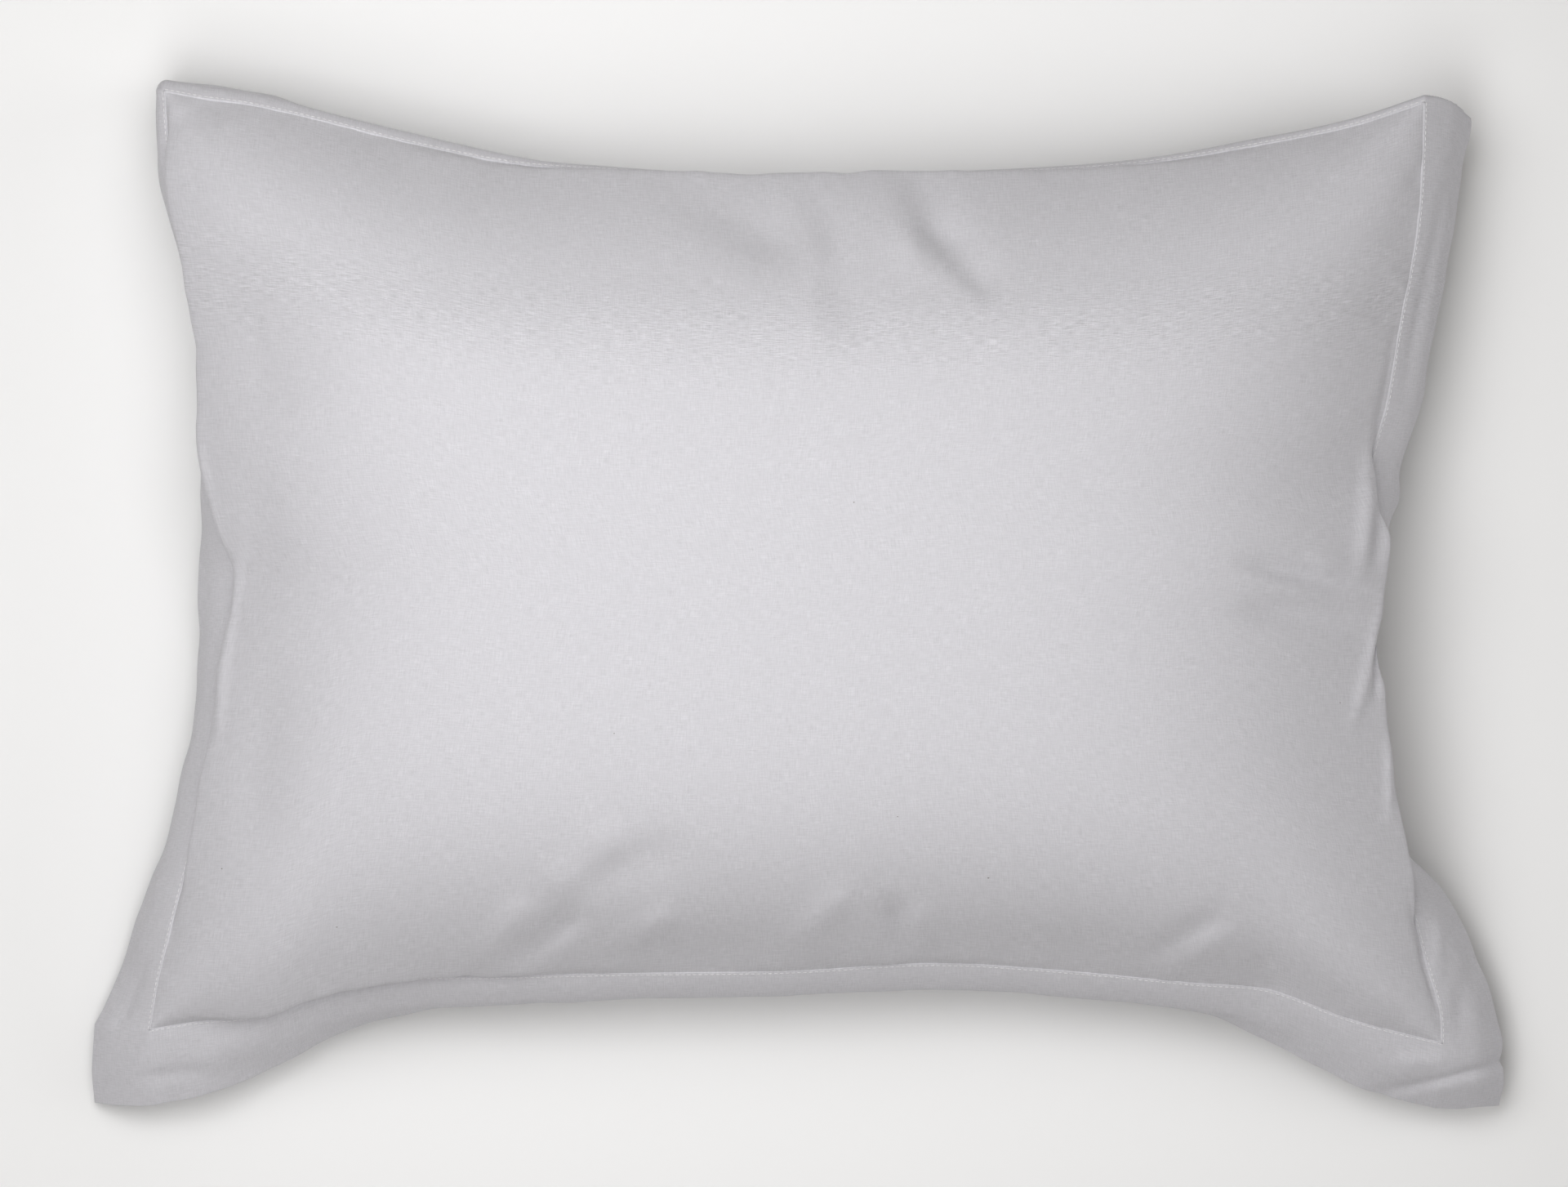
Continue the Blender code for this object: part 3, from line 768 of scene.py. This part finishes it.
def add_piece(name, points, faces, material, cut=None):
    """A finished piece: its points in millimetres go into a mesh in metres, with the cutting pattern as its
    UV map. Its object stays at the origin."""
    mesh = bpy.data.meshes.new(name)
    mesh.from_pydata((points + MIDDLE) * MM, [], faces)
    mesh.shade_smooth()
    mesh.materials.append(material)
    if cut is not None:
        corner = np.empty(len(mesh.loops), dtype=np.int32)
        mesh.loops.foreach_get("vertex_index", corner)
        layer = mesh.uv_layers.new(name="cutting_pattern")
        layer.data.foreach_set("uv", (cut[corner] * MM).ravel())
    if mesh.validate():
        raise RuntimeError(name + " has faces that don't hold together")
    piece = bpy.data.objects.new(name, mesh)
    bpy.context.scene.collection.objects.link(piece)
    return piece


def add_node(tree, kind, settings=(), links=(), values=()):
    """A shader node with its settings, the sockets linked into its inputs, and its inputs' values."""
    node = tree.nodes.new(kind)
    for name, value in dict(settings).items():
        setattr(node, name, value)
    for name, value in dict(values).items():
        node.inputs[name].default_value = value
    for name, socket in dict(links).items():
        tree.links.new(socket, node.inputs[name])
    return node


# Thread spacing of the plain weave, and the size of the thicker places in its yarn. A usual spacing is about
# 0.45 mm. It is drawn at 0.9 mm, because finer threads can't show in a picture of the whole pillow.
THREAD_SPACING = 0.9
SLUB_LENGTH = 7.0
SLUB_WIDTH = 0.65
CLOTH_CONTRAST = 0.20

# Heather: larger patches where the streaks show more or less. Its size along X and Y, how its noise sets the
# streaks' strength, how much it shades the cloth by itself, and the power that softens that.
HEATHER_SIZE = (19.2, 12.0)
HEATHER_GAIN = 1.6
HEATHER_LEAST = 0.2
HEATHER_SHADE = 0.12
HEATHER_POWER = 0.25

# The weft's streaks against the warp's, and the crease across the upper front: its place in the pattern, its
# spread, and how much stronger the weft's streaks show along it. That extra strength is partly the yarn's own
# and partly painted shade, standing in for the shading along the crease's edge; it raises the bump there too.
WEFT_GAIN = 1.1
CREASE_PLACE = 148.0
CREASE_SPREAD = 42.0
CREASE_SHADE_GAIN = 1.5

# How strongly the streaks and the weave raise the surface, and how far apart the thread's twists are drawn.
STREAK_RELIEF = 2.0
WEAVE_RELIEF = 0.5
TWIST_SPACING = 0.6


def yarn_noise(tree, pattern, size, name, detail=2.0):
    """Noise in the cutting pattern, with features of a size along X and along Y in millimetres."""
    scale = [1.0 / (length * MM) for length in size] + [1.0]
    place = add_node(tree, "ShaderNodeMapping", dict(label=name), dict(Vector=pattern), dict(Scale=scale))
    look = dict(noise_dimensions="2D")
    amount = dict(Scale=1.0, Detail=detail, Roughness=0.6)
    noise = add_node(tree, "ShaderNodeTexNoise", look, dict(Vector=place.outputs["Vector"]), amount)
    return noise.outputs["Fac"]


def bands(tree, pattern, direction, spacing):
    """A wave node's sine bands, whose scale is their turns in radians for each metre, over 20."""
    look = dict(bands_direction=direction)
    amount = dict(Scale=2.0 * math.pi / (20.0 * spacing * MM))
    return add_node(tree, "ShaderNodeTexWave", look, dict(Vector=pattern), amount).outputs["Fac"]


def combined(tree, operation, first, second=None, third=None):
    """A math node of one to three inputs, each a socket or a number."""
    node = add_node(tree, "ShaderNodeMath", dict(operation=operation))
    for socket, value in zip(node.inputs, (first, second, third)):
        if isinstance(value, bpy.types.NodeSocket):
            tree.links.new(value, socket)
        elif value is not None:
            socket.default_value = value
    return node.outputs["Value"]


def plain_weave(name, colour, contrast):
    """Woven cotton: matte, with slubs along both sets of threads and an over-and-under weave.

    The streaks of the weft and warp darken and lighten it by a few hundredths, more in some patches than in
    others, and a product of two waves raises each thread where it crosses over."""
    material = bpy.data.materials.new(name)
    material.use_nodes = True
    material.diffuse_color = (*colour, 1.0)
    tree = material.node_tree
    shader = tree.nodes["Principled BSDF"]
    shader.inputs["Roughness"].default_value = 0.88
    shader.inputs["Specular IOR Level"].default_value = 0.22
    shader.inputs["Sheen Weight"].default_value = 0.10
    shader.inputs["Sheen Roughness"].default_value = 0.5
    pattern = add_node(tree, "ShaderNodeUVMap", dict(uv_map="cutting_pattern")).outputs["UV"]
    weft = yarn_noise(tree, pattern, (SLUB_LENGTH, SLUB_WIDTH), "weft slubs")
    warp = yarn_noise(tree, pattern, (SLUB_WIDTH, SLUB_LENGTH), "warp slubs")
    heather = yarn_noise(tree, pattern, HEATHER_SIZE, "heather", 3.0)
    height = add_node(tree, "ShaderNodeSeparateXYZ", (), dict(Vector=pattern)).outputs["Y"]
    # Painted shade: along the crease the weft's streaks are drawn stronger in the colour, standing in for the
    # shading of its edge, on top of the yarn's own streaks.
    away = combined(tree, "ABSOLUTE", combined(tree, "SUBTRACT", height, CREASE_PLACE * MM))
    crease = add_node(tree, "ShaderNodeMapRange", dict(interpolation_type="SMOOTHSTEP"), dict(Value=away), {
        "From Max": CREASE_SPREAD * MM, "To Min": WEFT_GAIN + CREASE_SHADE_GAIN, "To Max": WEFT_GAIN})
    weft_streaks = combined(tree, "MULTIPLY", combined(tree, "SUBTRACT", weft, 0.5), crease.outputs["Result"])
    warp_streaks = combined(tree, "SUBTRACT", warp, 0.5)
    streaks = combined(tree, "ADD", weft_streaks, warp_streaks)
    patchy = combined(tree, "MULTIPLY_ADD", heather, HEATHER_GAIN, HEATHER_LEAST)
    uneven = combined(tree, "MULTIPLY", streaks, patchy)
    slow = combined(tree, "MULTIPLY_ADD", heather, HEATHER_SHADE, 1.0 - 0.5 * HEATHER_SHADE)
    shade = combined(tree, "MULTIPLY_ADD", uneven, contrast, combined(tree, "POWER", slow, HEATHER_POWER))
    tint = add_node(tree, "ShaderNodeVectorMath", dict(operation="SCALE"), dict(Scale=shade))
    tint.inputs[0].default_value = colour
    tree.links.new(tint.outputs["Vector"], shader.inputs["Base Color"])
    waves = [bands(tree, pattern, direction, 2.0 * THREAD_SPACING) for direction in ("X", "Y")]
    cross = combined(tree, "MULTIPLY", *waves)
    weave = combined(tree, "MULTIPLY", cross, WEAVE_RELIEF)
    relief = combined(tree, "MULTIPLY_ADD", streaks, STREAK_RELIEF, weave)
    bump = add_node(tree, "ShaderNodeBump", (), dict(Height=relief), {"Strength": 0.5, "Distance": 0.12 * MM})
    tree.links.new(bump.outputs["Normal"], shader.inputs["Normal"])
    return material


def plain_material(name, colour, roughness, sheen=0.0):
    """A matte material of one colour."""
    material = bpy.data.materials.new(name)
    material.use_nodes = True
    material.diffuse_color = (*colour, 1.0)
    shader = material.node_tree.nodes["Principled BSDF"]
    shader.inputs["Base Color"].default_value = (*colour, 1.0)
    shader.inputs["Roughness"].default_value = roughness
    shader.inputs["Specular IOR Level"].default_value = 0.2
    shader.inputs["Sheen Weight"].default_value = sheen
    return material


def spun_thread(name, colour):
    """Spun polyester sewing thread: matte, with a fine twist that shows as slanted darker bands."""
    material = plain_material(name, colour, 0.7, 0.1)
    tree = material.node_tree
    place = add_node(tree, "ShaderNodeTexCoord").outputs["Object"]
    twist = bands(tree, place, "DIAGONAL", TWIST_SPACING)
    bump = add_node(tree, "ShaderNodeBump", (), dict(Height=twist), {"Strength": 0.3, "Distance": 0.05 * MM})
    tree.links.new(bump.outputs["Normal"], tree.nodes["Principled BSDF"].inputs["Normal"])
    return material


def filled_pocket():
    """The closed pocket: a fine front grid, a back grid with every second of its lines, and a narrow rim
    of five-sided faces that joins the two along the stitched line."""
    wide, high = FRONT_CELLS
    p, q = np.meshgrid(crowded(wide), crowded(high), indexing="ij")
    front = front_panel(p, q)
    back = back_panel(p[::2, ::2], q[::2, ::2])
    front_cut = (np.stack((p, q), -1) * 2.0 - 1.0) * CUT_HALF
    points = np.concatenate((front.reshape(-1, 3), back.reshape(-1, 3)))
    cut = np.concatenate((front_cut.reshape(-1, 2), front_cut[::2, ::2].reshape(-1, 2)))
    offset = front.shape[0] * front.shape[1]
    front_faces = grid_faces(wide + 1, high + 1)
    back_faces = grid_faces(wide // 2 + 1, high // 2 + 1)[:, ::-1] + offset
    upper = grid_edge(wide + 1, high + 1)
    lower = grid_edge(wide // 2 + 1, high // 2 + 1) + offset
    beyond = np.roll(upper, -2)[::2]
    rim = np.stack((lower, np.roll(lower, -1), beyond, upper[1::2], upper[::2]), -1)
    return points, front_faces.tolist() + back_faces.tolist() + rim.tolist(), cut


class PILLOWCASE_OT_pocket(bpy.types.Operator):
    """Makes the filled pocket from its front and back panels"""

    bl_idname = "pillowcase.pocket"
    bl_label = "Filled pocket"

    def execute(self, context):
        points, faces, cut = filled_pocket()
        cloth = plain_weave("plain_weave_cotton", colours().cloth, CLOTH_CONTRAST)
        piece = add_piece("pocket_panels", points, faces, cloth, cut)
        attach(piece, "root")
        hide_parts("pocket")
        return {"FINISHED"}


class PILLOWCASE_OT_border(bpy.types.Operator):
    """Makes the flat border of two layers of cloth outside the topstitch"""

    bl_idname = "pillowcase.border"
    bl_label = "Flat border"

    def execute(self, context):
        half = 0.5 * sizes().border_thickness / MM
        points, cut = border_surface()
        points = waved(points, -surface_normals(points, closed_along=True))
        normals = surface_normals(points, closed_along=True)
        across = across_border()
        nearest = np.minimum(across + SEAM_TUCK, across[-1] - across)
        lift = half * np.sqrt(np.clip(1.0 - (1.0 - np.minimum(nearest / half, 1.0)) ** 2, 0.0, 1.0))
        front = points - normals * lift[:, None]
        back = points + normals * lift[:, None]
        loop = np.concatenate((front, back[:, -2:0:-1]), axis=1)
        flat = np.concatenate((cut, cut[:, -2:0:-1]), axis=1)
        faces = grid_faces(loop.shape[0], loop.shape[1], wrap=True)[:, (0, 3, 2, 1)]
        cloth = plain_weave("plain_weave_cotton_pressed", colours().cloth, CLOTH_CONTRAST)
        piece = add_piece("border", loop.reshape(-1, 3), faces.tolist(), cloth, flat.reshape(-1, 2))
        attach(piece, "root")
        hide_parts("flange")
        return {"FINISHED"}


def along_line(where, place, values):
    """Values along a line, linear between its points."""
    return np.stack([np.interp(where, place, column) for column in values.T], -1)


def seam_stitches(under):
    """A row of stitches round the seam: a short rounded bar of thread at each pitch, which dips into the
    cloth at both ends. Each side has a whole number of stitches, so that the row turns on a needle hole at
    the corners."""
    points, _ = border_surface()
    normals = -surface_normals(points, closed_along=True)
    turns = np.cumsum([cells + 2 * CORNER_CELLS for cells in SIDE_CELLS.values()]) - CORNER_CELLS
    order = (turns[-1] + np.arange(len(points) + 1)) % len(points)
    line = points[order, THREAD_LINE]
    up = normals[order, len(SEAM_LINES)] * (-1.0 if under else 1.0)
    place = np.insert(np.cumsum(np.linalg.norm(np.diff(line, axis=0), axis=1)), 0, 0.0)
    corners = place[(turns - turns[-1]) % len(points)]
    middle = []
    for start, end in zip(np.roll(corners, 1), np.append(corners[:-1], place[-1])):
        stitches = int(round((end - start) / (sizes().stitch_pitch / MM)))
        middle.append(start + (np.arange(stitches) + 0.5) * (end - start) / stitches)
    middle = np.concatenate(middle)
    centre = along_line(middle, place, line)
    ahead = unit(along_line(middle + AHEAD, place, line) - centre)
    lift = unit(along_line(middle, place, up))
    side = np.cross(ahead, lift)
    girth = STITCH_GIRTHS * 0.5 * sizes().thread_width / MM
    around = np.linspace(0.0, 2.0 * math.pi, STITCH_SIDES, endpoint=False)
    rise = 0.5 * sizes().border_thickness / MM + STITCH_PROUD - STITCH_DIP * STITCH_PLACES ** 2
    rings = (STITCH_PLACES * 0.5 * sizes().stitch_length / MM)[:, None, None] * ahead[:, None, None, :]
    rings = rings + (girth[:, None] * np.cos(around))[..., None] * side[:, None, None, :]
    rings = rings + (rise[:, None] + girth[:, None] * np.sin(around))[..., None] * lift[:, None, None, :]
    rings += centre[:, None, None, :]
    return rings.reshape(-1, 3), ring_faces(len(STITCH_PLACES), STITCH_SIDES, len(middle))


class PILLOWCASE_OT_topstitch(bpy.types.Operator):
    """Sews the topstitch between the pocket and the border, with its thread on the front and the back"""

    bl_idname = "pillowcase.topstitch"
    bl_label = "Topstitch"

    def execute(self, context):
        thread = spun_thread("spun_sewing_thread", colours().thread)
        for name, under in (("topstitch_front", False), ("topstitch_back", True)):
            points, faces = seam_stitches(under)
            piece = add_piece(name, points, faces, thread)
            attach(piece, "root")
        return {"FINISHED"}


class PILLOWCASE_OT_specks(bpy.types.Operator):
    """Adds the few dark seed specks in the yarn of the front"""

    bl_idname = "pillowcase.specks"
    bl_label = "Seed specks"

    def execute(self, context):
        mesh = bpy.data.objects["pocket_panels"].data
        grid = (FRONT_CELLS[0] + 1, FRONT_CELLS[1] + 1, 3)
        front = np.empty(len(mesh.vertices) * 3)
        mesh.vertices.foreach_get("co", front)
        front = front[:math.prod(grid)].reshape(grid) / MM - MIDDLE
        normals = surface_normals(front).reshape(-1, 3)
        front = front.reshape(-1, 3)
        turn = np.linspace(0.0, 2.0 * math.pi, SPECK_SIDES, endpoint=False)
        rings = SPECK_RINGS[:, None]
        height = SPECK_HEIGHT * (1.0 - rings ** 2) - SPECK_SUNK + 0.0 * turn
        across = rings * np.sin(turn) * SPECK_WIDTH
        shape = np.stack((rings * np.cos(turn), across, height), -1).reshape(-1, 3)
        points = []
        for seed in SPECKS:
            seat = np.argmin(np.hypot(front[:, 0] - seed["x"], front[:, 1] - seed["y"]))
            side = unit(np.cross((0.0, 1.0, 0.0), normals[seat]))
            axes = np.stack((side, np.cross(normals[seat], side), normals[seat]))
            points.append(front[seat] + (shape * 0.5 * seed["size"]) @ axes)
        faces = ring_faces(len(SPECK_RINGS), SPECK_SIDES, len(SPECKS))
        husk = plain_material("cotton_seed_husk", colours().speck, 0.9)
        piece = add_piece("seed_specks", np.concatenate(points), faces, husk)
        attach(piece, "root")
        return {"FINISHED"}


# Studio lights: place and side length in metres, and power in watts. Each points at the origin.
LIGHTS = rows(
    ("x", "y", "z", "size", "power"),
    (-0.15, 0.2, 1.1, 0.8, 6.1),
    (-0.7, 0.3, 1.2, 0.8, 3.2),
    (-0.5, -1.2, 2.6, 1.6, 21.5),
    (2.6, 0.2, 1.5, 1.6, 13),
)
WORLD_COLOUR = linear("#fcf6ee")
WORLD_STRENGTH = 0.17
FLOOR_HALF = 6.0
CAMERA_PLACE = (-0.007051, 0.000285, 3.0)
CAMERA_LENS = 128.2


class PILLOWCASE_OT_stage(bpy.types.Operator):
    """Sets up the pale floor, the soft studio light and the camera straight over the front"""

    bl_idname = "pillowcase.stage"
    bl_label = "Studio"

    def execute(self, context):
        scene = context.scene
        corners = FLOOR_HALF * np.array(((-1, -1, 0), (1, -1, 0), (1, 1, 0), (-1, 1, 0)))
        board = plain_material("painted_board", colours().floor, 0.95)
        floor = add_piece("studio_floor", corners / MM - MIDDLE, [(0, 1, 2, 3)], board)
        for index, light in enumerate(LIGHTS):
            lamp = bpy.data.lights.new(f"softbox_{index}", "AREA")
            lamp.size = light["size"]
            lamp.energy = light["power"]
            holder = bpy.data.objects.new(lamp.name, lamp)
            x, y, z = light["x"], light["y"], light["z"]
            holder.location = (x, y, z)
            holder.rotation_euler = (math.atan2(math.hypot(x, y), z), 0.0, math.atan2(-x, y) + math.pi)
            scene.collection.objects.link(holder)
        world = bpy.data.worlds.new("studio")
        world.use_nodes = True
        background = world.node_tree.nodes["Background"]
        background.inputs["Color"].default_value = (*WORLD_COLOUR, 1.0)
        background.inputs["Strength"].default_value = WORLD_STRENGTH
        scene.world = world
        camera = bpy.data.objects.new("camera", bpy.data.cameras.new("camera"))
        camera.data.sensor_fit = "HORIZONTAL"
        camera.data.sensor_width = 36.0
        camera.data.lens = CAMERA_LENS
        camera.location = CAMERA_PLACE
        scene.collection.objects.link(camera)
        scene.camera = camera
        scene.view_settings.view_transform = "Standard"
        return {"FINISHED"}


class PILLOWCASE_PT_panel(bpy.types.Panel):
    """The pillowcase's sizes, colours and pieces"""

    bl_idname = "PILLOWCASE_PT_panel"
    bl_label = "Pillowcase"
    bl_space_type = "VIEW_3D"
    bl_region_type = "UI"
    bl_category = "Pillowcase"

    def draw(self, context):
        for group in (context.scene.pillowcase_sizes, context.scene.pillowcase_colours):
            for name in group.__annotations__:
                self.layout.prop(group, name)
        for operator in OPERATORS:
            self.layout.operator(operator.bl_idname)


OPERATORS = (
    PILLOWCASE_OT_pocket,
    PILLOWCASE_OT_border,
    PILLOWCASE_OT_topstitch,
    PILLOWCASE_OT_specks,
    PILLOWCASE_OT_stage,
)
CLASSES = (PillowcaseSizes, PillowcaseColours) + OPERATORS + (PILLOWCASE_PT_panel,)


def register():
    """Registers the classes and puts both groups of properties on the scene."""
    for item in CLASSES:
        bpy.utils.register_class(item)
    bpy.types.Scene.pillowcase_sizes = bpy.props.PointerProperty(type=PillowcaseSizes)
    bpy.types.Scene.pillowcase_colours = bpy.props.PointerProperty(type=PillowcaseColours)


def unregister():
    """Takes the properties and the classes away again."""
    del bpy.types.Scene.pillowcase_colours
    del bpy.types.Scene.pillowcase_sizes
    for item in reversed(CLASSES):
        bpy.utils.unregister_class(item)


def main():
    """Makes every piece in order."""
    register()
    bpy.ops.pillowcase.pocket()
    bpy.ops.pillowcase.border()
    bpy.ops.pillowcase.topstitch()
    bpy.ops.pillowcase.specks()
    bpy.ops.pillowcase.stage()
    bpy.context.view_layer.update()


if __name__ == "__main__":
    main()
